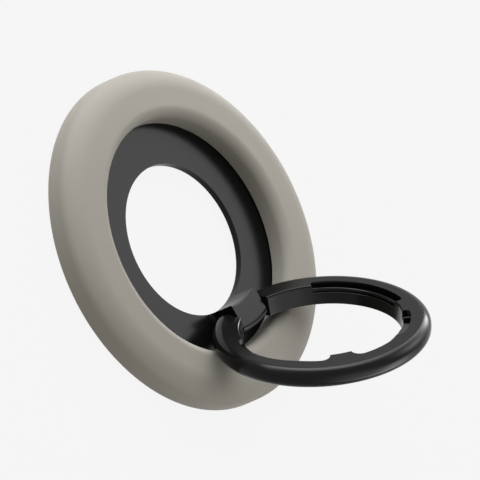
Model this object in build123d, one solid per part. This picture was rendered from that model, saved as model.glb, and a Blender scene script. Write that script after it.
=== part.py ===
# Magnetic phone grip with a fold-out finger ring.
# A soft sleeve wraps a thin black chassis with a round window. The chassis holds a ring of
# magnets that clings to the back of a phone, and its lug carries an open finger ring on a
# stiff hinge. All sizes are in millimetres. The origin is the centre of the window on the
# front face of the chassis plate, +Z points away from the phone and the hinge lies at -Y.
from build123d import *
from math import cos, degrees, radians, sin, tan
import os

# Window and chassis plate. The radii below are built outwards from the window.
window_diameter = 27.12
plate_thickness = 1.2
rim_height = 0.25
rim_width = 0.65
roof_thickness = 0.6

# Finger ring
open_angle = 121.2           # how far the ring is turned out from its closed place
ring_margin = 0.44           # from the window's edge to the ring's inner wall
ring_band = 4.63             # from the ring's inner wall to its outer wall
ring_thickness = 3.5
ring_lift = 1.15             # of the closed ring above the plate
ring_back_round = 1.65
ring_front_round = 1.5
ring_inner_back_round = 0.3
ring_inner_front_round = 0.15
ring_draft = 0.35            # how much the inner wall closes in towards the front

# Soft sleeve
ring_clearance = 2.11        # from the ring's outer wall to the foot of the sleeve's bowl
bowl_flare = 0.26            # how much the bowl widens up to its mouth, before rounding
bowl_wall = 1.36             # of the chassis, between the bowl and the magnet carrier
lip_height = 4.27            # where the bowl's wall and the crown would meet, before rounding
lip_round = 1.75
crown_slope = 5.3            # how steeply the crown falls away from the lip
crown_roll = 5.6             # the broad round that leads down from the crown
crown_roll_end = 44.8        # how steep the broad round has grown where the tight one takes over
outer_roll = 2.0             # the tight round, down to the upright outer wall
base_chamfer = 0.45
sleeve_skin = 1.28           # from the cavity to the outside
hook_reach = 0.75            # how far the sleeve's hem reaches under the back cover

# Magnets and what holds them
magnet_count = 18
magnet_band = 4.0
magnet_thickness = 1.4
magnet_wall = 0.5            # carrier wall between one magnet and the next
shunt_thickness = 0.45
shunt_overhang = 0.3
carrier_inner_wall = 0.5
carrier_outer_wall = 1.25
fit_gap = 0.05               # around bonded inner pieces

# Back cover, its glue ring and the contact pad
cover_thickness = 0.53
cover_window_margin = 1.35   # keeps the covers behind the edge of the window
glue_thickness = 0.14
glue_margin = 0.6
pad_thickness = 0.4

# Hinge lug
hinge_offset = 2.34          # from the window's edge to the hinge axis
lug_width = 7.5
lug_rise = 2.15              # from the hinge axis to the lug's top
lug_draft = 1.0              # how the lug's front leans away from the window's wall
lug_outer_inset = 0.03       # from the ring's outer wall to the lug's back
lug_shoulder_round = 1.0
lug_crease_inset = 1.1
lug_crease_width = 0.22
lug_crease_depth = 0.24
lug_foot_fillet = 0.9
lug_front_break = 0.18

# Hinge pin, friction bush and washers
pin_diameter = 1.5
pin_hold = 2.0               # how deep the pin sits in each end of the ring
pin_chamfer = 0.15
press_clearance = 0.01
running_clearance = 0.04
bush_wall = 0.5
bush_inset = 0.3
bush_slit = 0.35
washer_thickness = 0.4
washer_play = 0.15
washer_diameter = 3.2

# Channel with a low rail along it, on the back of one side of the ring
channel_start = -34.7        # the middles of its round ends
channel_end = 29.4
channel_reach = 1.5          # from the ring's inner wall
channel_overlap = 0.4        # of the round ends past the ring's inner wall
channel_depth = 1.5
rail_outer_reach = 0.75
rail_inner_reach = 0.28
rail_drop = 0.78
rail_round = 0.24
rail_break = 0.06
bead_width = 0.26            # of the bead that edges the inner wall below the rail
bead_drop = 1.4
bead_round = 0.11
gutter_depth = 1.65          # between the rail and the bead

# Stepped notch past the end of the channel
notch_start = 48.6
notch_end = 78.0
notch_reach = 1.25
notch_corner = 0.7
notch_run_out = 2.6          # the round by which the notch runs out towards the tab
notch_depth = 1.5
notch_rib_start = 54.4
notch_rib_end = 56.3
notch_rib_drop = 0.55
notch_floor_start = 61.5
notch_floor_depth = 0.9
notch_floor_end = 88.0       # where the sloping floor comes back up to the ring's back

# Thumb tab, and the relief on both sides of it
tab_start = 125.3
tab_end = 142.2
tab_reach = 1.3
tab_thickness = 1.5
relief_reach = 0.62
relief_depth = 1.3
tab_scoop = 1.7
sweep_reach = 0.9
sweep_offset = 3.0
sweep_angle = 119.0
sweep_start = 66.0

# Round-ended finger pocket between the relief and the hinge
pocket_reach = 1.35
pocket_offset = 3.3
pocket_angle = 200.0
pocket_start = 165.0
pocket_end = 215.3
pocket_end_round = 1.1

# Radii, from the window outwards
window_radius = window_diameter / 2
hinge_radius = window_radius + hinge_offset
ring_inner = window_radius + ring_margin
ring_outer = ring_inner + ring_band
lug_outer_radius = ring_outer - lug_outer_inset
lug_crease_radius = lug_outer_radius - lug_crease_inset
bowl_radius = ring_outer + ring_clearance
rim_radius = bowl_radius + rim_width
lip_radius = bowl_radius + bowl_flare
wall_inner = bowl_radius + bowl_wall
carrier_inner = wall_inner + fit_gap
shunt_inner = carrier_inner + carrier_inner_wall + fit_gap
magnet_inner = shunt_inner + shunt_overhang
magnet_outer = magnet_inner + magnet_band
shunt_outer = magnet_outer + shunt_overhang
roof_radius = shunt_outer + fit_gap + carrier_outer_wall
cavity_radius = roof_radius + fit_gap
hem_radius = cavity_radius - hook_reach
outer_radius = cavity_radius + sleeve_skin
cover_window = window_radius + cover_window_margin

# Heights, down and up from the front of the plate
plate_back = -plate_thickness
cover_back = plate_back - cover_thickness
glue_back = cover_back - glue_thickness
base_z = glue_back - pad_thickness
magnet_front = plate_back + magnet_thickness
roof_under = magnet_front + shunt_thickness
roof_height = roof_under + roof_thickness
ring_back = ring_lift
ring_front = ring_lift + ring_thickness
hinge_height = ring_lift + ring_thickness / 2
lug_height = hinge_height + lug_rise
lug_lean = lug_height * tan(radians(lug_draft))
crown_end_radius = (outer_radius - outer_roll * (1 - sin(radians(crown_roll_end)))
                    - crown_roll * (sin(radians(crown_roll_end)) - sin(radians(crown_slope))))
crown_end_height = lip_height - (crown_end_radius - lip_radius) * tan(radians(crown_slope))

# Hinge
gap_half = lug_width / 2 + washer_thickness + washer_play
pin_radius = pin_diameter / 2
pin_half = gap_half + pin_hold
bush_inner = pin_radius + running_clearance
bush_outer = bush_inner + bush_wall
hinge_axis = Axis((0, -hinge_radius, hinge_height), (1, 0, 0))

# Details of the ring
channel_radius = ring_inner + channel_reach
rail_outer = ring_inner + rail_outer_reach
rail_inner = ring_inner + rail_inner_reach
bead_inner = ring_inner - ring_draft * bead_drop / ring_thickness
bead_outer = bead_inner + bead_width
notch_radius = ring_inner + notch_reach
relief_radius = ring_inner + relief_reach
pocket_radius = ring_inner + pocket_reach - pocket_offset
pocket_tip_radius = (pocket_offset * cos(radians(pocket_end - pocket_angle))
                     + pocket_radius - pocket_end_round)
tab_radius = ring_inner - tab_reach
sweep_radius = ring_inner + sweep_reach - sweep_offset
spare = 2.0                  # how far cutting shapes run past what they cut


def turned(points):
    """A solid turned about Z from (radius, height) corners."""
    return revolve(Plane.XZ * make_face(Polyline(*points, close=True)), Axis.Z)


def round_corners(face, corners):
    """Round corners of a flat profile, each given as a point and a radius."""
    for point, radius in corners:
        spot = Vector(*point)
        nearest = min(face.vertices(), key=lambda corner: (Vector(*corner) - spot).length)
        face = fillet(nearest, radius)
    return face


def tube(inner, outer, low, high):
    """A plain ring between two radii and two heights."""
    return Pos(0, 0, low) * extrude(Circle(outer) - Circle(inner), high - low)


def polar(radius, angle):
    """The flat point at a radius and an angle."""
    return (radius * cos(radians(angle)), radius * sin(radians(angle)))


def degrees_across(length, radius):
    """The angle that a short length spans at a radius."""
    return degrees(length / radius)


def sector(inner, outer, start, end):
    """A flat piece of a ring between two radii and two angles."""
    far = CenterArc((0, 0), outer, start, end - start)
    near = CenterArc((0, 0), inner, start, end - start)
    return make_face([far, near, Line(far @ 0, near @ 0), Line(far @ 1, near @ 1)])


def slot(inner, outer, start, end):
    """A curved slot with round ends, between two radii and two angles."""
    middle = (inner + outer) / 2
    ends = [Pos(*polar(middle, angle)) * Circle((outer - inner) / 2) for angle in (start, end)]
    return sector(inner, outer, start, end) + ends


def block(face, low, high):
    """A flat face on XY raised into a solid between two heights."""
    return Pos(0, 0, low) * extrude(face, high - low)


def along_hinge(radius, start, end):
    """A round bar on the hinge axis between two places along X."""
    bar = Cylinder(radius, end - start, align=(Align.CENTER, Align.CENTER, Align.MIN))
    return Pos(start, -hinge_radius, hinge_height) * Rot(0, 90, 0) * bar


def on_round(centre, radius, lean):
    """The point of a round in a flat profile, at a lean from straight up towards the outside."""
    return (centre[0] + radius * sin(radians(lean)), centre[1] + radius * cos(radians(lean)))


def grip_sleeve():
    """The soft sleeve: a gently sloping crown, a bowl inside it and a hem that hooks underneath."""
    lip = (lip_radius, lip_height)
    tight = (outer_radius - outer_roll,
             crown_end_height - crown_roll * cos(radians(crown_slope))
             + (crown_roll - outer_roll) * cos(radians(crown_roll_end)))
    broad = on_round(tight, outer_roll - crown_roll, crown_roll_end)
    crown_end = on_round(broad, crown_roll, crown_slope)
    meeting = on_round(tight, outer_roll, crown_roll_end)
    wall_top = on_round(tight, outer_roll, 90)
    profile = make_face([
        Line((bowl_radius, rim_height), lip),
        Line(lip, crown_end),
        ThreePointArc(crown_end, on_round(broad, crown_roll, (crown_slope + crown_roll_end) / 2), meeting),
        ThreePointArc(meeting, on_round(tight, outer_roll, (crown_roll_end + 90) / 2), wall_top),
        Polyline(
            wall_top,
            (outer_radius, base_z + base_chamfer),
            (outer_radius - base_chamfer, base_z),
            (hem_radius, base_z),
            (hem_radius, cover_back),
            (cavity_radius, cover_back),
            (cavity_radius, roof_height),
            (rim_radius, roof_height),
            (rim_radius, rim_height),
            (bowl_radius, rim_height))])
    return revolve(Plane.XZ * round_corners(profile, [(lip, lip_round)]), Axis.Z)


def lug():
    """The bored hinge lug, curved with the window, with a rounded shoulder and a fine crease."""
    width = Rectangle(lug_width, 2 * lug_outer_radius, align=(Align.CENTER, Align.MAX))
    body = block((Circle(lug_outer_radius) - Circle(window_radius)) & width, plate_back, lug_height)
    body -= turned([(0, 0), (window_radius, 0), (window_radius + lug_lean, lug_height), (0, lug_height)])
    body -= along_hinge(bush_outer, -lug_width, lug_width)
    top_edges = body.edges().group_by(Axis.Z)[-1].filter_by(GeomType.CIRCLE).sort_by(Axis.Y)
    body = fillet(top_edges[0], lug_shoulder_round)
    top_edges = body.edges().group_by(Axis.Z)[-1].filter_by(GeomType.CIRCLE).sort_by(Axis.Y)
    body = fillet(top_edges[-1], lug_front_break)
    crease = tube(lug_crease_radius, lug_crease_radius + lug_crease_width,
                  lug_height - lug_crease_depth, lug_height + spare)
    return body - crease


def chassis():
    """The black plate with its window, the rim, the roof over the magnets and the lug."""
    plate = turned([
        (window_radius, plate_back),
        (wall_inner, plate_back),
        (wall_inner, roof_under),
        (roof_radius, roof_under),
        (roof_radius, roof_height),
        (rim_radius, roof_height),
        (rim_radius, rim_height),
        (bowl_radius, rim_height),
        (bowl_radius, 0),
        (window_radius, 0)])
    body = plate + lug()
    feet = [edge for edge in body.edges().filter_by(GeomType.LINE).filter_by(Axis.Y)
            if abs(edge.center().Z) < fit_gap and abs(abs(edge.center().X) - lug_width / 2) < fit_gap]
    return fillet(feet, lug_foot_fillet)


def magnet_sectors(inset):
    """The flat outlines of the magnets, each drawn in from its pocket by the inset."""
    pitch = 360 / magnet_count
    half_wall = degrees_across(magnet_wall / 2 + inset, magnet_inner)
    return [sector(magnet_inner + inset, magnet_outer - inset,
                   index * pitch + half_wall, (index + 1) * pitch - half_wall)
            for index in range(magnet_count)]


def magnets():
    """The magnet segments, one after another round the ring."""
    return [block(outline, plate_back, magnet_front) for outline in magnet_sectors(fit_gap)]


def magnet_carrier():
    """The moulded ring with a pocket for each magnet and a seat for the steel shunt."""
    body = tube(carrier_inner, roof_radius, plate_back, roof_under)
    body -= tube(shunt_inner - fit_gap, shunt_outer + fit_gap, magnet_front, roof_under + spare)
    for outline in magnet_sectors(0):
        body -= block(outline, plate_back - spare, magnet_front + fit_gap)
    return body


def shunt_ring():
    """The steel ring that closes the magnets' field on the side of the hand."""
    return tube(shunt_inner, shunt_outer, magnet_front, roof_under)


def back_cover():
    """The thin cover under the plate and the magnets, held in by the sleeve's hem."""
    return tube(cover_window, cavity_radius - fit_gap, cover_back, plate_back)


def glue_ring():
    """The bonding film between the back cover and the contact pad."""
    return tube(cover_window + glue_margin, hem_radius - glue_margin, glue_back, cover_back)


def contact_pad():
    """The grippy pad that touches the phone."""
    return tube(cover_window + glue_margin / 2, hem_radius - fit_gap, base_z, glue_back)


def hinge_pin():
    """The steel pin, pressed into both ends of the ring."""
    pin = along_hinge(pin_radius, -pin_half, pin_half)
    return chamfer(pin.edges().filter_by(GeomType.CIRCLE), pin_chamfer)


def friction_bush():
    """The slit bush in the lug that grips the pin and holds the ring where it is put."""
    half = lug_width / 2 - bush_inset
    bush = along_hinge(bush_outer, -half, half) - along_hinge(bush_inner, -lug_width, lug_width)
    slit = Pos(0, -hinge_radius, hinge_height - bush_outer) * Box(lug_width, bush_slit, bush_outer * 2)
    return bush - slit


def side_washer(side):
    """A washer on the pin between the lug and one end of the ring."""
    start = lug_width / 2 if side > 0 else -lug_width / 2 - washer_thickness
    hole = along_hinge(bush_inner, start - spare, start + washer_thickness + spare)
    return along_hinge(washer_diameter / 2, start, start + washer_thickness) - hole


def ring_blank():
    """The plain finger ring, with its rounded outer edges and its drafted inner wall."""
    inner_back = (ring_inner, ring_back)
    inner_front = (ring_inner - ring_draft, ring_front)
    outer_back = (ring_outer, ring_back)
    outer_front = (ring_outer, ring_front)
    profile = make_face(Polyline(inner_back, inner_front, outer_front, outer_back, close=True))
    profile = round_corners(profile, [
        (inner_back, ring_inner_back_round), (inner_front, ring_inner_front_round),
        (outer_front, ring_front_round), (outer_back, ring_back_round)])
    return revolve(Plane.XZ * profile, Axis.Z)


def eccentric(radius, offset, angle, start, end):
    """A sweep bounded by a circle set off the ring's centre, between two angles."""
    circle = Pos(*polar(offset, angle)) * Circle(radius)
    return circle & sector(ring_inner - spare, ring_outer, start, end)


def channel_cut():
    """The channel: a deep groove, a low rail with a soft edge, a gutter and a fine bead."""
    near = ring_inner - spare
    far = channel_radius + spare
    under = ring_back - spare
    floor = ring_back + channel_depth
    crest = ring_back + rail_drop
    gutter = ring_back + gutter_depth
    bead = ring_back + bead_drop
    section = make_face(Polyline(
        (near, under), (far, under), (far, floor), (rail_outer, floor), (rail_outer, crest),
        (rail_inner, crest), (rail_inner, gutter), (bead_outer, gutter), (bead_outer, bead),
        (bead_inner, bead), (bead_inner, gutter), (near, gutter), close=True))
    section = round_corners(section, [
        ((rail_outer, crest), rail_break), ((rail_inner, crest), rail_round),
        ((bead_outer, bead), bead_round), ((bead_inner, bead), bead_round)])
    outline = slot(ring_inner - channel_overlap, channel_radius, channel_start, channel_end)
    outline += sector(near, ring_inner, channel_start, channel_end)
    return revolve(Plane.XZ * section, Axis.Z) & block(outline, under, gutter)


def notch_floor(outline):
    """What is cut above the notch's floor, which slopes up to the ring's back."""
    start = Vector(*polar(notch_radius, notch_floor_start), ring_back + notch_floor_depth)
    run = Vector(*polar(notch_radius, notch_floor_end), ring_back) - start
    outwards = Vector(*polar(1, (notch_floor_start + notch_floor_end) / 2))
    size = 2 * run.length
    above = Plane(start, x_dir=run, z_dir=run.cross(outwards)) * Box(
        size, size, size, align=(Align.CENTER, Align.CENTER, Align.MIN))
    area = outline & sector(ring_inner - spare, ring_outer, notch_floor_start, notch_floor_end)
    return block(area, ring_back - spare, ring_back + notch_floor_depth) & above


def notch_cut():
    """The stepped notch: a deep start, a low rib, a second dip and the sloping floor."""
    under = ring_back - spare
    near = ring_inner - spare
    outline = sector(near, notch_radius, notch_start, notch_end)
    outline = round_corners(outline, [(polar(notch_radius, notch_start), notch_corner)])
    outline += Pos(*polar(notch_radius - notch_run_out, notch_end)) * Circle(notch_run_out)
    steps = [
        (notch_start - spare, notch_rib_start, notch_depth),
        (notch_rib_start, notch_rib_end, notch_rib_drop),
        (notch_rib_end, notch_floor_start, notch_depth)]
    cuts = [block(outline & sector(near, ring_outer, start, end), under, ring_back + depth)
            for start, end, depth in steps]
    return cuts + [notch_floor(outline)]


def scoops():
    """The two angles where the relief turns up to the tab, and the outlines of its rounds."""
    middle = relief_radius - tab_scoop
    half = degrees_across(tab_scoop, middle)
    angles = [tab_start - half, tab_end + half]
    return angles, [Pos(*polar(middle, angle)) * Circle(tab_scoop) for angle in angles]


def relief_cut():
    """The relief of the inner wall on both sides of the tab, with a pocket next to the hinge."""
    near = ring_inner - spare
    angles, rounds = scoops()
    outline = sector(near, relief_radius, angles[1], pocket_start) + rounds
    outline += (eccentric(sweep_radius, sweep_offset, sweep_angle, sweep_start, angles[0])
                & Circle(relief_radius))
    outline += eccentric(pocket_radius, pocket_offset, pocket_angle, pocket_start, pocket_end)
    outline += Pos(*polar(pocket_tip_radius, pocket_end)) * Circle(pocket_end_round)
    return block(outline, ring_back - spare, ring_back + relief_depth)


def thumb_tab():
    """The flat tab that stands in from the ring's inner wall, with a sweep up to each side."""
    angles, rounds = scoops()
    outline = sector(relief_radius - tab_scoop, relief_radius, *angles) - rounds
    outline += sector(tab_radius, relief_radius, tab_start, tab_end)
    return block(outline, ring_back, ring_back + tab_thickness)


def ring_gap():
    """The gap in the ring that the lug and its washers fill."""
    return Pos(0, -ring_outer, hinge_height) * Box(2 * gap_half, ring_outer, 2 * ring_thickness)


def pin_bores():
    """The blind bore in one end of the ring and the through bore in the other."""
    radius = pin_radius + press_clearance
    return along_hinge(radius, -pin_half, ring_outer)


def finger_ring():
    """The finger ring in its closed place."""
    body = ring_blank() - channel_cut() - notch_cut() - relief_cut()
    return body + thumb_tab() - ring_gap() - pin_bores()


def bore_plug():
    """The plug that closes the bore by which the pin goes in, trimmed to the ring's side."""
    start = pin_half + fit_gap
    return along_hinge(pin_radius, start, ring_outer) & ring_blank()


def opened(shape):
    """Turn a closed piece out about the hinge to the place where it is shown."""
    return shape.rotate(hinge_axis, open_angle)


def main():
    """Build every piece and write one file for each."""
    pieces = {
        "grip_sleeve": grip_sleeve(),
        "chassis": chassis(),
        "magnet_carrier": magnet_carrier(),
        "shunt_ring": shunt_ring(),
        "back_cover": back_cover(),
        "glue_ring": glue_ring(),
        "contact_pad": contact_pad(),
        "friction_bush": friction_bush(),
        "left_washer": side_washer(-1),
        "right_washer": side_washer(1),
        "hinge_pin": opened(hinge_pin()),
        "finger_ring": opened(finger_ring()),
        "bore_plug": opened(bore_plug()),
    }
    for number, magnet in enumerate(magnets(), start=1):
        pieces[f"magnet_{number:02d}"] = magnet
    os.makedirs("parts", exist_ok=True)
    for name, shape in pieces.items():
        export_step(shape, f"parts/{name}.step")


if __name__ == "__main__":
    main()
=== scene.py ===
"""Looks of a magnetic phone grip with a fold-out finger ring.

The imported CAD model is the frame. The soft sleeve and the contact pad are built here as their own
meshes; every other piece keeps its CAD mesh and gets its finish. Sizes are in millimetres unless a
name says otherwise, and are turned into metres where a mesh or a lamp is made.
"""

import logging
import math
from dataclasses import dataclass, field
from enum import Enum

import bpy
from mathutils import Matrix, Vector


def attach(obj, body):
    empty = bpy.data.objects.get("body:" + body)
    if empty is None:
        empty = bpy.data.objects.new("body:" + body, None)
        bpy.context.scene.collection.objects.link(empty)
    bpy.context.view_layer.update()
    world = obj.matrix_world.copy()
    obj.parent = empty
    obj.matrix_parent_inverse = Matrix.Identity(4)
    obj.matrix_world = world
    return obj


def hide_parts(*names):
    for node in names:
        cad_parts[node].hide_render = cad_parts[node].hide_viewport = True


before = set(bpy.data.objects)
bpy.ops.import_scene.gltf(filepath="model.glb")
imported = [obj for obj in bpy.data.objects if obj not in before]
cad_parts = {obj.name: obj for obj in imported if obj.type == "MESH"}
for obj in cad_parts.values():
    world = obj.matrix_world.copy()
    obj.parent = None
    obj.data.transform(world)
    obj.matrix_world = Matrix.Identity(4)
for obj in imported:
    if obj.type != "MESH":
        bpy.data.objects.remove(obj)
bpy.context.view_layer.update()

MM = 0.001
LOG = logging.getLogger("phone_grip")
SHARP_EDGE = math.radians(32)

Point = tuple[float, float]
Colour = tuple[float, float, float]
Direction = tuple[float, float, float]
Value = bpy.types.NodeSocket | float


class Ray(Enum):
    """Kinds of ray for which a surface shows the white surroundings."""

    CAMERA = "Is Camera Ray"
    GLOSSY = "Is Glossy Ray"
    TRANSMISSION = "Is Transmission Ray"


class Panel(Enum):
    """The studio's light panels, named by where they stand round the grip."""

    KEY = "key_panel"
    OVERHEAD = "overhead_panel"
    HINGE_SIDE = "hinge_side_panel"
    FAR_SIDE = "far_side_panel"


class Tree:
    """A short way to place and join nodes in one node tree."""

    def __init__(self, tree: bpy.types.NodeTree) -> None:
        """Start on an empty tree.

        Args:
            tree: the node tree to fill.
        """
        self.tree = tree
        tree.nodes.clear()

    def add(self, kind: str, **settings: object) -> bpy.types.Node:
        """Place a node.

        Args:
            kind: the node's type name.
            settings: values for the node's own properties.

        Returns:
            The new node.
        """
        node = self.tree.nodes.new(kind)
        for name, value in settings.items():
            setattr(node, name, value)
        return node

    def join(self, source: bpy.types.NodeSocket, target: bpy.types.NodeSocket) -> None:
        """Join an output to an input."""
        self.tree.links.new(source, target)

    def math(self, operation: str, first: Value, second: Value) -> bpy.types.NodeSocket:
        """Place a Math node.

        Args:
            operation: the Math node's operation.
            first: a socket or a number.
            second: a socket or a number.

        Returns:
            The node's output.
        """
        node = self.add("ShaderNodeMath", operation=operation)
        for index, value in enumerate((first, second)):
            if isinstance(value, bpy.types.NodeSocket):
                self.join(value, node.inputs[index])
            else:
                node.inputs[index].default_value = value
        return node.outputs[0]

    def noise(self, detail: float, scale: bpy.types.NodeSocket) -> bpy.types.NodeSocket:
        """Place a Noise Texture that is fixed to the piece.

        Args:
            detail: the noise's detail.
            scale: the socket that gives its scale.

        Returns:
            The noise, about one half in the middle.
        """
        place = self.add("ShaderNodeTexCoord")
        texture = self.add("ShaderNodeTexNoise")
        texture.inputs["Detail"].default_value = detail
        self.join(place.outputs["Object"], texture.inputs["Vector"])
        self.join(scale, texture.inputs["Scale"])
        return texture.outputs[0]


def group_tree(name: str, inputs: dict[str, float], outputs: tuple[str, ...]) -> Tree:
    """Start a shared node group with named sockets.

    Args:
        name: the group's name.
        inputs: its inputs and their usual values.
        outputs: its outputs.

    Returns:
        The group's tree, empty but for its sockets.
    """
    group = bpy.data.node_groups.new(name, "ShaderNodeTree")
    for label, value in inputs.items():
        socket = group.interface.new_socket(label, in_out="INPUT", socket_type="NodeSocketFloat")
        socket.default_value = value
    for label in outputs:
        group.interface.new_socket(label, in_out="OUTPUT", socket_type="NodeSocketFloat")
    return Tree(group)


@dataclass(frozen=True)
class MouldedGrain:
    """The shared group for the grain of a moulded surface and its broad cloudiness."""

    fine_detail: float = 3.0
    cloud_detail: float = 4.0
    fine_share: float = 0.35

    def build(self) -> bpy.types.NodeTree:
        """Build the group.

        Returns:
            A group with Scale and Cloud Scale inputs, and Height, Shade and Gloss outputs.
        """
        tree = group_tree("moulded_grain", {"Scale": 6000.0, "Cloud Scale": 120.0},
                          ("Height", "Shade", "Gloss"))
        inlet, outlet = tree.add("NodeGroupInput"), tree.add("NodeGroupOutput")
        fine = tree.noise(self.fine_detail, inlet.outputs["Scale"])
        cloud = tree.noise(self.cloud_detail, inlet.outputs["Cloud Scale"])
        tree.join(fine, outlet.inputs["Height"])
        tree.join(tree.math("SUBTRACT", cloud, 0.5), outlet.inputs["Shade"])
        mixed = tree.math("ADD", tree.math("MULTIPLY", fine, self.fine_share),
                          tree.math("MULTIPLY", cloud, 1 - self.fine_share))
        tree.join(mixed, outlet.inputs["Gloss"])
        return tree.tree


@dataclass(frozen=True)
class EdgePolish:
    """The shared group that finds edges rubbed smooth by handling."""

    broken_detail: float = 2.0
    steepness: float = 12.0

    def build(self) -> bpy.types.NodeTree:
        """Build the group.

        Returns:
            A group with Start and Scale inputs and an Edge output between 0 and 1.
        """
        tree = group_tree("edge_polish", {"Start": 0.53, "Scale": 900.0}, ("Edge",))
        inlet, outlet = tree.add("NodeGroupInput"), tree.add("NodeGroupOutput")
        shape = tree.add("ShaderNodeNewGeometry")
        broken = tree.noise(self.broken_detail, inlet.outputs["Scale"])
        over = tree.math("SUBTRACT", shape.outputs["Pointiness"], inlet.outputs["Start"])
        sharp = tree.math("MULTIPLY", over, self.steepness)
        held = tree.add("ShaderNodeClamp")
        tree.join(tree.math("MULTIPLY", sharp, broken), held.inputs["Value"])
        tree.join(held.outputs[0], outlet.inputs["Edge"])
        return tree.tree


class Surface:
    """A material under construction: its Principled shader and the shared grain on it."""

    def __init__(self, name: str, library: "Library", scale: float, cloud_scale: float) -> None:
        """Start a material.

        Args:
            name: the material's name.
            library: where the shared node groups are.
            scale: the scale of the fine grain.
            cloud_scale: the scale of the broad cloudiness.
        """
        self.material = bpy.data.materials.new(name)
        self.material.use_nodes = True
        self.tree = Tree(self.material.node_tree)
        self.shader = self.tree.add("ShaderNodeBsdfPrincipled")
        out = self.tree.add("ShaderNodeOutputMaterial")
        self.tree.join(self.shader.outputs[0], out.inputs["Surface"])
        self.grain = self.tree.add("ShaderNodeGroup", node_tree=library.grain)
        self.grain.inputs["Scale"].default_value = scale
        self.grain.inputs["Cloud Scale"].default_value = cloud_scale

    def cloud(self, spread: float) -> bpy.types.NodeSocket:
        """Give the level of the base colour over the surface.

        Args:
            spread: how far the level strays from 1, for the whole range of the noise.

        Returns:
            The level's socket, about 1.
        """
        shade = self.tree.math("MULTIPLY", self.grain.outputs["Shade"], spread)
        return self.tree.math("ADD", shade, 1.0)

    def gloss(self, spread: float) -> bpy.types.NodeSocket:
        """Give what the grain adds to the roughness.

        Args:
            spread: how far the roughness strays to either side.

        Returns:
            The socket, about 0.
        """
        middle = self.tree.math("SUBTRACT", self.grain.outputs["Gloss"], 0.5)
        return self.tree.math("MULTIPLY", middle, spread * 2)

    def bump(self, height: float) -> None:
        """Raise the grain from the surface.

        Args:
            height: the grain's height.
        """
        bump = self.tree.add("ShaderNodeBump")
        bump.inputs["Distance"].default_value = height * MM
        self.tree.join(self.grain.outputs["Height"], bump.inputs["Height"])
        self.tree.join(bump.outputs[0], self.shader.inputs["Normal"])


@dataclass(frozen=True)
class Moulding:
    """A moulded plastic or rubber finish with grain, a slight cloudiness and handled edges."""

    name: str
    colour: Colour
    edge_colour: Colour
    roughness: float
    edge_roughness: float
    specular: float = 0.5
    gloss_spread: float = 0.04
    cloudiness: float = 0.05
    grain_scale: float = 6000.0
    grain_height: float = 0.004
    cloud_scale: float = 120.0
    sheen: float = 0.0
    sheen_roughness: float = 0.5

    def material(self, library: "Library") -> bpy.types.Material:
        """Make the material.

        Args:
            library: where the shared node groups are.

        Returns:
            The new material.
        """
        surface = Surface(self.name, library, self.grain_scale, self.cloud_scale)
        shader = surface.shader
        shader.inputs["Specular IOR Level"].default_value = self.specular
        shader.inputs["Sheen Weight"].default_value = self.sheen
        shader.inputs["Sheen Roughness"].default_value = self.sheen_roughness
        edge = surface.tree.add("ShaderNodeGroup", node_tree=library.edge)
        self.colour_nodes(surface, edge)
        self.gloss_nodes(surface, edge)
        surface.bump(self.grain_height)
        return surface.material

    def colour_nodes(self, surface: Surface, edge: bpy.types.Node) -> None:
        """Join the base colour: cloudy over the surface, paler where edges are handled.

        Args:
            surface: the material under construction.
            edge: the edge group's node.
        """
        tree = surface.tree
        rubbed = tree.add("ShaderNodeMix", data_type="RGBA")
        rubbed.inputs[6].default_value = (*self.colour, 1)
        rubbed.inputs[7].default_value = (*self.edge_colour, 1)
        tree.join(edge.outputs["Edge"], rubbed.inputs[0])
        clouded = tree.add("ShaderNodeHueSaturation")
        tree.join(rubbed.outputs[2], clouded.inputs["Color"])
        tree.join(surface.cloud(self.cloudiness * 2), clouded.inputs["Value"])
        tree.join(clouded.outputs[0], surface.shader.inputs["Base Color"])

    def gloss_nodes(self, surface: Surface, edge: bpy.types.Node) -> None:
        """Join the roughness: varied by the grain, and smoother on handled edges.

        Args:
            surface: the material under construction.
            edge: the edge group's node.
        """
        tree = surface.tree
        smoother = self.edge_roughness - self.roughness
        polished = tree.math("MULTIPLY", edge.outputs["Edge"], smoother)
        varied = tree.math("ADD", surface.gloss(self.gloss_spread), polished)
        tree.join(tree.math("ADD", varied, self.roughness), surface.shader.inputs["Roughness"])


@dataclass(frozen=True)
class Metal:
    """A bare or plated metal finish with fine turning or tumbling marks."""

    name: str
    colour: Colour
    roughness: float
    mark_scale: float = 4000.0
    cloud_scale: float = 400.0
    mark_height: float = 0.002
    gloss_spread: float = 0.08
    cloudiness: float = 0.06

    def material(self, library: "Library") -> bpy.types.Material:
        """Make the material.

        Args:
            library: where the shared node groups are.

        Returns:
            The new material.
        """
        surface = Surface(self.name, library, self.mark_scale, self.cloud_scale)
        tree, shader = surface.tree, surface.shader
        shader.inputs["Metallic"].default_value = 1.0
        tint = tree.add("ShaderNodeHueSaturation")
        tint.inputs["Color"].default_value = (*self.colour, 1)
        tree.join(surface.cloud(self.cloudiness * 2), tint.inputs["Value"])
        tree.join(tint.outputs[0], shader.inputs["Base Color"])
        varied = tree.math("ADD", surface.gloss(self.gloss_spread), self.roughness)
        tree.join(varied, shader.inputs["Roughness"])
        surface.bump(self.mark_height)
        return surface.material


Finish = Moulding | Metal

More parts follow.
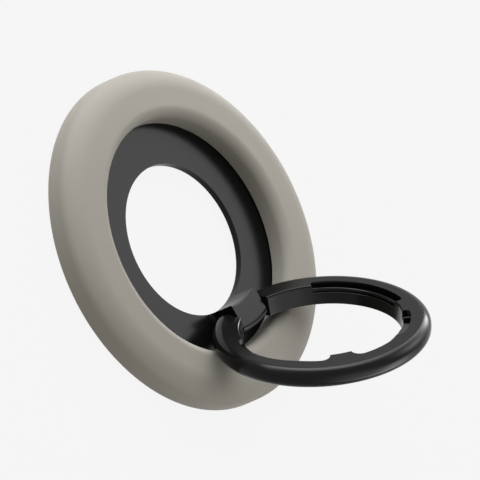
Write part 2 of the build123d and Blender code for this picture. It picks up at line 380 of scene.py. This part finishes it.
SILICONE = Moulding(
    "silicone_sleeve", colour=(0.356, 0.342, 0.312), edge_colour=(0.364, 0.351, 0.324),
    roughness=0.62, edge_roughness=0.58, specular=0.08, gloss_spread=0.03, cloudiness=0.012,
    grain_scale=9000.0, grain_height=0.0025, cloud_scale=60.0, sheen=0.12)
PAD_RUBBER = Moulding(
    "grip_pad", colour=(0.045, 0.045, 0.047), edge_colour=(0.055, 0.055, 0.057),
    roughness=0.55, edge_roughness=0.5, specular=0.35, cloudiness=0.06, grain_scale=5200.0,
    grain_height=0.012)
PLATE_BLACK = Moulding(
    "black_chassis", colour=(0.005, 0.005, 0.0052), edge_colour=(0.007, 0.007, 0.0073),
    roughness=0.24, edge_roughness=0.2, specular=0.12, gloss_spread=0.02, cloudiness=0.03,
    grain_scale=8000.0, grain_height=0.0006)
RING_BLACK = Moulding(
    "black_ring", colour=(0.006, 0.006, 0.0062), edge_colour=(0.008, 0.008, 0.0083),
    roughness=0.16, edge_roughness=0.13, specular=0.12, gloss_spread=0.02, cloudiness=0.03,
    grain_scale=8000.0, grain_height=0.0005)
COVER_BLACK = Moulding(
    "cover_plastic", colour=(0.012, 0.012, 0.0125), edge_colour=(0.02, 0.02, 0.02),
    roughness=0.42, edge_roughness=0.36)
CARRIER_GREY = Moulding(
    "carrier_plastic", colour=(0.09, 0.09, 0.092), edge_colour=(0.12, 0.12, 0.12),
    roughness=0.5, edge_roughness=0.42, cloudiness=0.08)
WASHER_BLACK = Moulding(
    "washer_plastic", colour=(0.01, 0.01, 0.01), edge_colour=(0.014, 0.014, 0.014),
    roughness=0.34, edge_roughness=0.28)
BOND_FILM = Moulding(
    "bonding_film", colour=(0.62, 0.58, 0.5), edge_colour=(0.66, 0.62, 0.55),
    roughness=0.35, edge_roughness=0.3, cloudiness=0.08)
MAGNET_NICKEL = Metal("magnet_nickel", colour=(0.66, 0.63, 0.58), roughness=0.24)
SHUNT_STEEL = Metal("plated_steel", colour=(0.58, 0.57, 0.55), roughness=0.32)
BUSH_STEEL = Metal("bush_steel", colour=(0.42, 0.41, 0.4), roughness=0.3)
PIN_STEEL = Metal("pin_steel", colour=(0.6, 0.59, 0.57), roughness=0.2)


class Library:
    """The shared node groups, and the materials made from the finishes so far."""

    def __init__(self) -> None:
        """Build the shared groups."""
        self.grain = MouldedGrain().build()
        self.edge = EdgePolish().build()
        self.made: dict[str, bpy.types.Material] = {}

    def material(self, finish: Finish) -> bpy.types.Material:
        """Give a finish's material, made the first time it is asked for.

        Args:
            finish: the finish.

        Returns:
            Its material.
        """
        if finish.name not in self.made:
            self.made[finish.name] = finish.material(self)
        return self.made[finish.name]

    def dress(self, piece: bpy.types.Object, finish: Finish) -> None:
        """Put a finish on every material slot of a piece.

        Args:
            piece: the object to dress.
            finish: its finish.
        """
        material = self.material(finish)
        if not piece.material_slots:
            piece.data.materials.append(material)
        for slot in piece.material_slots:
            slot.material = material

    def dress_nodes(self, finishes: dict[str, Finish]) -> None:
        """Dress CAD pieces, which keep their own meshes.

        Args:
            finishes: the finish of each node, by the node's name.
        """
        for node, finish in finishes.items():
            self.dress(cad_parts[node], finish)
            LOG.info("%s: dressed as %s", node, finish.name)


def arc(centre: Point, radius: float, start: float, end: float, steps: int) -> list[Point]:
    """Sample a circular arc of a flat profile.

    Args:
        centre: the arc's centre as radius and height.
        radius: the arc's own radius.
        start: its first angle in degrees from straight outwards.
        end: its last angle.
        steps: how many stretches it is divided into.

    Returns:
        The arc's points in order.
    """
    points = []
    for step in range(steps + 1):
        angle = math.radians(start + (end - start) * step / steps)
        points.append((centre[0] + radius * math.cos(angle),
                       centre[1] + radius * math.sin(angle)))
    return points


def rounded(before: Point, corner: Point, after: Point, radius: float,
            steps: int) -> list[Point]:
    """Round a corner of a flat profile.

    Args:
        before: the point ahead of the corner.
        corner: the sharp corner.
        after: the point past the corner.
        radius: the radius of the round.
        steps: how many stretches the round is divided into.

    Returns:
        The points of the round, from the side of `before` to the side of `after`.
    """
    here = Vector(corner)
    back = (Vector(before) - here).normalized()
    ahead = (Vector(after) - here).normalized()
    half = back.angle(ahead) / 2
    centre = here + (back + ahead).normalized() * radius / math.sin(half)
    reach = radius / math.tan(half)
    first = here + back * reach - centre
    last = here + ahead * reach - centre
    turn = first.angle_signed(last)
    return [tuple(centre + Matrix.Rotation(-turn * step / steps, 2) @ first)
            for step in range(steps + 1)]


def divided(points: list[Point], longest: float) -> list[Point]:
    """Divide the long stretches of a closed profile.

    Args:
        points: the profile's points.
        longest: the longest stretch that stays whole.

    Returns:
        The profile with more points.
    """
    fuller = []
    for here, there in zip(points, points[1:] + points[:1]):
        parts = max(1, math.ceil(math.dist(here, there) / longest))
        fuller += [(here[0] + (there[0] - here[0]) * part / parts,
                    here[1] + (there[1] - here[1]) * part / parts) for part in range(parts)]
    return fuller


def turned_mesh(name: str, profile: list[Point], segments: int) -> bpy.types.Object:
    """Turn a closed profile about Z into a smooth mesh.

    Args:
        name: the new object's name.
        profile: points as radius and height.
        segments: how many steps go round.

    Returns:
        The new object, linked into the scene.
    """
    count = len(profile)
    corners = []
    faces = []
    for segment in range(segments):
        angle = 2 * math.pi * segment / segments
        corners += [(radius * math.cos(angle) * MM, radius * math.sin(angle) * MM, height * MM)
                    for radius, height in profile]
        here, there = segment * count, (segment + 1) % segments * count
        faces += [(here + index, there + index,
                   there + (index + 1) % count, here + (index + 1) % count)
                  for index in range(count)]
    mesh = bpy.data.meshes.new(name)
    mesh.from_pydata(corners, [], faces)
    mesh.validate()
    mesh.shade_smooth()
    mesh.set_sharp_from_angle(angle=SHARP_EDGE)
    piece = bpy.data.objects.new(name, mesh)
    bpy.context.collection.objects.link(piece)
    return piece


@dataclass
class SoftSleeve:
    """The silicone sleeve: a sloping crown round a bowl, a full outer roll and a hooked hem."""

    bowl_radius: float = 20.74
    foot_height: float = 0.25
    rim_radius: float = 21.39
    roof_height: float = 1.25
    lip_radius: float = 21.0
    lip_height: float = 4.27
    lip_round: float = 1.75
    lip_steps: int = 20
    crown_slope: float = 5.3
    crown_roll: float = 5.6
    crown_roll_end: float = 44.8
    crown_steps: int = 16
    outer_roll: float = 2.0
    outer_steps: int = 14
    outer_radius: float = 29.93
    base_height: float = -2.27
    base_chamfer: float = 0.45
    cover_height: float = -1.73
    hem_radius: float = 27.9
    cavity_radius: float = 28.65
    longest_stretch: float = 0.5
    segments: int = 300

    def rolls(self) -> tuple[Point, Point]:
        """Place the crown's two rounds.

        Returns:
            The centres of the broad round and of the tight round outside it.
        """
        slope, end = math.radians(self.crown_slope), math.radians(self.crown_roll_end)
        spread = self.crown_roll - self.outer_roll
        tight_radius = self.outer_radius - self.outer_roll
        broad_radius = tight_radius - spread * math.sin(end)
        crown_end = broad_radius + self.crown_roll * math.sin(slope)
        drop = (crown_end - self.lip_radius) * math.tan(slope)
        height = self.lip_height - drop - self.crown_roll * math.cos(slope)
        return (broad_radius, height), (tight_radius, height + spread * math.cos(end))

    def profile(self) -> list[Point]:
        """Draw the closed section of the sleeve.

        Returns:
            The section's points, inner wall first.
        """
        broad, tight = self.rolls()
        meeting = 90 - self.crown_roll_end
        crown = arc(broad, self.crown_roll, 90 - self.crown_slope, meeting, self.crown_steps)
        edge = arc(tight, self.outer_roll, meeting, 0, self.outer_steps)
        foot = (self.bowl_radius, self.foot_height)
        lip = (self.lip_radius, self.lip_height)
        points = [foot]
        points += rounded(foot, lip, crown[0], self.lip_round, self.lip_steps)
        points += crown + edge[1:]
        points += [(self.outer_radius, self.base_height + self.base_chamfer),
                   (self.outer_radius - self.base_chamfer, self.base_height),
                   (self.hem_radius, self.base_height),
                   (self.hem_radius, self.cover_height),
                   (self.cavity_radius, self.cover_height),
                   (self.cavity_radius, self.roof_height),
                   (self.rim_radius, self.roof_height),
                   (self.rim_radius, self.foot_height)]
        return divided(points, self.longest_stretch)

    def build(self, library: Library) -> None:
        """Make the sleeve's mesh in place of its CAD solid and dress it.

        Args:
            library: where the materials are.
        """
        sleeve = turned_mesh("sleeve_skin", self.profile(), self.segments)
        library.dress(sleeve, SILICONE)
        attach(sleeve, "base")
        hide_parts("grip_sleeve")
        LOG.info("sleeve_skin: %d faces", len(sleeve.data.polygons))


@dataclass
class ContactPad:
    """The soft pad under the grip, with eased edges."""

    inner_radius: float = 15.21
    outer_radius: float = 27.85
    back_height: float = -2.27
    front_height: float = -1.87
    edge_round: float = 0.14
    round_steps: int = 6
    longest_stretch: float = 1.0
    segments: int = 240

    def profile(self) -> list[Point]:
        """Draw the closed section of the pad.

        Returns:
            The section's points, inner wall first.
        """
        corners = [(self.inner_radius, self.front_height), (self.inner_radius, self.back_height),
                   (self.outer_radius, self.back_height), (self.outer_radius, self.front_height)]
        points = [corners[0]]
        for before, corner, after in (corners[:3], corners[1:]):
            points += rounded(before, corner, after, self.edge_round, self.round_steps)
        points.append(corners[3])
        return divided(points, self.longest_stretch)

    def build(self, library: Library) -> None:
        """Make the pad's mesh in place of its CAD solid and dress it.

        Args:
            library: where the materials are.
        """
        pad = turned_mesh("pad_skin", self.profile(), self.segments)
        library.dress(pad, PAD_RUBBER)
        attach(pad, "base")
        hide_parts("contact_pad")
        LOG.info("pad_skin: %d faces", len(pad.data.polygons))


@dataclass
class Chassis:
    """The black plate with its lug, and the cover, film, washers and bush that go with it."""

    finishes: dict[str, Finish] = field(default_factory=lambda: {
        "chassis": PLATE_BLACK,
        "back_cover": COVER_BLACK,
        "glue_ring": BOND_FILM,
        "left_washer": WASHER_BLACK,
        "right_washer": WASHER_BLACK,
        "friction_bush": BUSH_STEEL,
    })

    def build(self, library: Library) -> None:
        """Dress the CAD pieces."""
        library.dress_nodes(self.finishes)


@dataclass
class MagnetRing:
    """The hidden ring of magnets, its moulded carrier and its steel shunt."""

    magnet_count: int = 18

    def build(self, library: Library) -> None:
        """Dress the CAD pieces.

        Args:
            library: where the materials are.
        """
        finishes = {"magnet_carrier": CARRIER_GREY, "shunt_ring": SHUNT_STEEL}
        for number in range(1, self.magnet_count + 1):
            finishes[f"magnet_{number:02d}"] = MAGNET_NICKEL
        library.dress_nodes(finishes)


@dataclass
class FingerRing:
    """The fold-out ring with its pin and the plug over the pin's bore."""

    finishes: dict[str, Finish] = field(default_factory=lambda: {
        "finger_ring": RING_BLACK,
        "bore_plug": RING_BLACK,
        "hinge_pin": PIN_STEEL,
    })

    def build(self, library: Library) -> None:
        """Dress the CAD pieces."""
        library.dress_nodes(self.finishes)


@dataclass
class Camera:
    """The photograph's viewpoint, as the camera's own axes among the grip's.

    Args:
        right: the way to the right of the picture.
        up: the way up in the picture.
        back: the way from the grip to the camera.
        offset: how far the grip lies to the right of the view, below it and away.
        lens: the focal length.
        sensor: the sensor's width.
        nearest: where the view starts, in metres.
        farthest: where the view ends, in metres.
    """

    right: Direction = (0.5188, -0.5006, 0.6930)
    up: Direction = (0.4123, 0.8566, 0.3102)
    back: Direction = (-0.7489, 0.1248, 0.6508)
    offset: tuple[float, float, float] = (-9.603, -0.158, 3401.4)
    lens: float = 1500.0
    sensor: float = 36.0
    nearest: float = 0.01
    farthest: float = 20.0

    def build(self) -> None:
        """Make the camera and set it as the scene's."""
        data = bpy.data.cameras.new("photo_camera")
        data.lens, data.sensor_width = self.lens, self.sensor
        data.clip_start, data.clip_end = self.nearest, self.farthest
        camera = bpy.data.objects.new("photo_camera", data)
        bpy.context.collection.objects.link(camera)
        right, up, back = (Vector(axis).normalized() for axis in (self.right, self.up, self.back))
        aside, below, away = self.offset
        spot = -(right * aside - up * below - back * away)
        turn = Matrix((right, up, back)).transposed().to_4x4()
        camera.matrix_world = Matrix.Translation(spot * MM) @ turn
        bpy.context.scene.camera = camera
        LOG.info("camera at %s", [round(value, 4) for value in spot * MM])


@dataclass(frozen=True)
class Softbox:
    """A soft light round the grip that shows in reflections only, on top of the white.

    Args:
        towards: its direction from the grip.
        tightness: how fast it fades off that direction.
        level: its brightness in the middle, where 1 is white.
    """

    towards: Direction
    tightness: float
    level: float

    def nodes(self, tree: Tree, facing: bpy.types.NodeSocket) -> bpy.types.NodeSocket:
        """Give this light's brightness in the direction of a ray.

        Args:
            tree: the world's tree.
            facing: the ray's direction.

        Returns:
            The brightness's socket.
        """
        near = tree.add("ShaderNodeVectorMath", operation="DOT_PRODUCT")
        near.inputs[1].default_value = Vector(self.towards).normalized()
        tree.join(facing, near.inputs[0])
        front = tree.math("MAXIMUM", near.outputs["Value"], 0.0)
        return tree.math("MULTIPLY", tree.math("POWER", front, self.tightness), self.level)


@dataclass(frozen=True)
class PanelPlace:
    """Where a light panel stands, and how large and bright it is.

    Args:
        azimuth: its direction round the grip, in degrees from +X.
        elevation: its direction above the grip, in degrees.
        width: its width.
        height: its height.
        level: the light that it throws on a surface facing it, where 1 shows a colour as written.
    """

    azimuth: float
    elevation: float
    width: float
    height: float
    level: float

    def towards(self) -> Vector:
        """Give the direction from the grip to the panel.

        Returns:
            The direction, of length 1.
        """
        turn, rise = math.radians(self.azimuth), math.radians(self.elevation)
        return Vector((math.cos(turn) * math.cos(rise), math.sin(turn) * math.cos(rise),
                       math.sin(rise)))


@dataclass
class Studio:
    """A pale floor, white surroundings, soft panels, and softboxes seen in reflections.

    Args:
        floor_height: the floor's height.
        floor_size: its length and width.
        floor_colour: the grey that takes the shadow.
        floor_shadow: the share of that grey in the floor that is seen.
        floor_roughness: how dull the floor is.
        white: the level of the white that is seen.
        fill: the strength of the surroundings' own light on the grip.
        fill_colour: its colour.
        distance: how far the panels stand from the grip.
        softboxes: the lights that show in reflections.
        panels: the place of each light panel.
    """

    floor_height: float = -2.28
    floor_size: float = 6000.0
    floor_colour: float = 0.3
    floor_shadow: float = 0.1
    floor_roughness: float = 0.9
    white: float = 0.9216
    fill: float = 0.31
    fill_colour: Colour = (1.0, 0.96, 0.87)
    distance: float = 900.0
    softboxes: tuple[Softbox, ...] = (
        Softbox((0.92, 0.39, 0.08), 12.0, 3.3),
        Softbox((0.96, 0.27, 0.02), 60.0, 14.4),
        Softbox((0.74, 0.64, -0.2), 22.0, 3.5),
        Softbox((0.11, 0.96, -0.27), 8.0, 6.7),
        Softbox((0.25, 0.97, 0.04), 22.0, 3.7),
        Softbox((0.35, 0.87, 0.34), 22.0, 7.2),
        Softbox((0.72, 0.1, 0.69), 22.0, 6.3),
        Softbox((0.32, -0.88, 0.36), 22.0, 9.0),
        Softbox((-0.08, -1.0, -0.02), 8.0, 5.85),
        Softbox((-0.35, -0.68, 0.64), 8.0, 2.0),
    )
    panels: dict[Panel, PanelPlace] = field(default_factory=lambda: {
        Panel.KEY: PanelPlace(52.0, 14.0, 1800.0, 700.0, 1.3),
        Panel.OVERHEAD: PanelPlace(70.0, 56.0, 1100.0, 1100.0, 0.635),
        Panel.HINGE_SIDE: PanelPlace(-95.0, 7.0, 1100.0, 300.0, 0.31),
        Panel.FAR_SIDE: PanelPlace(100.0, 6.0, 1100.0, 260.0, 0.28),
    })

    def seen_white(self, tree: Tree) -> bpy.types.NodeSocket:
        """Give a mask of the rays that see the white surroundings.

        Args:
            tree: the tree to place the nodes in.

        Returns:
            The mask's socket, 1 for those rays.
        """
        path = tree.add("ShaderNodeLightPath")
        mask = path.outputs[Ray.CAMERA.value]
        for ray in (Ray.GLOSSY, Ray.TRANSMISSION):
            mask = tree.math("MAXIMUM", mask, path.outputs[ray.value])
        return mask

    def floor_material(self) -> bpy.types.Material:
        """Make the floor's paper: white where it is seen, with a faint shadow, clear from below.

        Returns:
            The new material.
        """
        material = bpy.data.materials.new("floor_paper")
        material.use_nodes = True
        tree = Tree(material.node_tree)
        paper = tree.add("ShaderNodeBsdfPrincipled")
        paper.inputs["Base Color"].default_value = (*(self.floor_colour,) * 3, 1)
        paper.inputs["Roughness"].default_value = self.floor_roughness
        paper.inputs["Specular IOR Level"].default_value = 0.0
        glow = tree.add("ShaderNodeEmission")
        glow.inputs["Color"].default_value = (1, 1, 1, 1)
        shadowed = self.floor_colour * self.floor_shadow
        glow.inputs["Strength"].default_value = (self.white - shadowed) / (1 - self.floor_shadow)
        seen = tree.add("ShaderNodeMixShader")
        share = tree.math("MULTIPLY", self.seen_white(tree), 1 - self.floor_shadow)
        tree.join(share, seen.inputs[0])
        tree.join(paper.outputs[0], seen.inputs[1])
        tree.join(glow.outputs[0], seen.inputs[2])
        side = tree.add("ShaderNodeNewGeometry")
        clear = tree.add("ShaderNodeBsdfTransparent")
        both = tree.add("ShaderNodeMixShader")
        tree.join(side.outputs["Backfacing"], both.inputs[0])
        tree.join(seen.outputs[0], both.inputs[1])
        tree.join(clear.outputs[0], both.inputs[2])
        out = tree.add("ShaderNodeOutputMaterial")
        tree.join(both.outputs[0], out.inputs["Surface"])
        return material

    def build_floor(self) -> None:
        """Make the floor, which lights nothing and only shows."""
        half = self.floor_size / 2 * MM
        height = self.floor_height * MM
        corners = [(-half, -half, height), (half, -half, height),
                   (half, half, height), (-half, half, height)]
        mesh = bpy.data.meshes.new("floor")
        mesh.from_pydata(corners, [], [(0, 1, 2, 3)])
        mesh.materials.append(self.floor_material())
        floor = bpy.data.objects.new("floor", mesh)
        floor.visible_diffuse = False
        bpy.context.collection.objects.link(floor)

    def softbox_light(self, tree: Tree) -> bpy.types.NodeSocket:
        """Give the brightness that the softboxes add to the surroundings in reflections.

        Args:
            tree: the world's tree.

        Returns:
            The socket for the brightness.
        """
        facing = tree.add("ShaderNodeTexCoord").outputs["Generated"]
        total = self.softboxes[0].nodes(tree, facing)
        for softbox in self.softboxes[1:]:
            total = tree.math("ADD", total, softbox.nodes(tree, facing))
        path = tree.add("ShaderNodeLightPath")
        return tree.math("MULTIPLY", total, path.outputs[Ray.GLOSSY.value])

    def build_world(self) -> None:
        """Make the surroundings: white where they are seen, a low fill where they light."""
        world = bpy.data.worlds.new("studio_air")
        world.use_nodes = True
        tree = Tree(world.node_tree)
        fill, white = tree.add("ShaderNodeBackground"), tree.add("ShaderNodeBackground")
        fill.inputs["Color"].default_value = (*self.fill_colour, 1)
        fill.inputs["Strength"].default_value = self.fill
        white.inputs["Color"].default_value = (*(self.white,) * 3, 1)
        tree.join(tree.math("ADD", self.softbox_light(tree), 1.0), white.inputs["Strength"])
        mixed = tree.add("ShaderNodeMixShader")
        tree.join(self.seen_white(tree), mixed.inputs[0])
        tree.join(fill.outputs[0], mixed.inputs[1])
        tree.join(white.outputs[0], mixed.inputs[2])
        out = tree.add("ShaderNodeOutputWorld")
        tree.join(mixed.outputs[0], out.inputs["Surface"])
        bpy.context.scene.world = world

    def build_panel(self, panel: Panel) -> None:
        """Make one light panel that faces the grip.

        Args:
            panel: which panel.
        """
        place = self.panels[panel]
        data = bpy.data.lights.new(panel.value, "AREA")
        data.shape = "RECTANGLE"
        data.size, data.size_y = place.width * MM, place.height * MM
        data.energy = place.level * math.pi ** 2 * (self.distance * MM) ** 2
        lamp = bpy.data.objects.new(panel.value, data)
        lamp.location = place.towards() * self.distance * MM
        lamp.rotation_mode = "QUATERNION"
        lamp.rotation_quaternion = place.towards().to_track_quat("Z", "Y")
        lamp.visible_camera = lamp.visible_glossy = False
        bpy.context.collection.objects.link(lamp)
        LOG.info("%s: %.2f W", panel.value, data.energy)

    def build(self) -> None:
        """Make the floor, the surroundings and the panels."""
        self.build_floor()
        self.build_world()
        for panel in self.panels:
            self.build_panel(panel)
        bpy.context.scene.view_settings.view_transform = "Standard"


def main() -> None:
    """Build each sub-assembly, then the studio."""
    logging.basicConfig(level=logging.INFO, format="%(name)s: %(message)s")
    library = Library()
    for part in (SoftSleeve(), ContactPad(), Chassis(), MagnetRing(), FingerRing()):
        part.build(library)
    Studio().build()
    Camera().build()


if __name__ == "__main__":
    main()
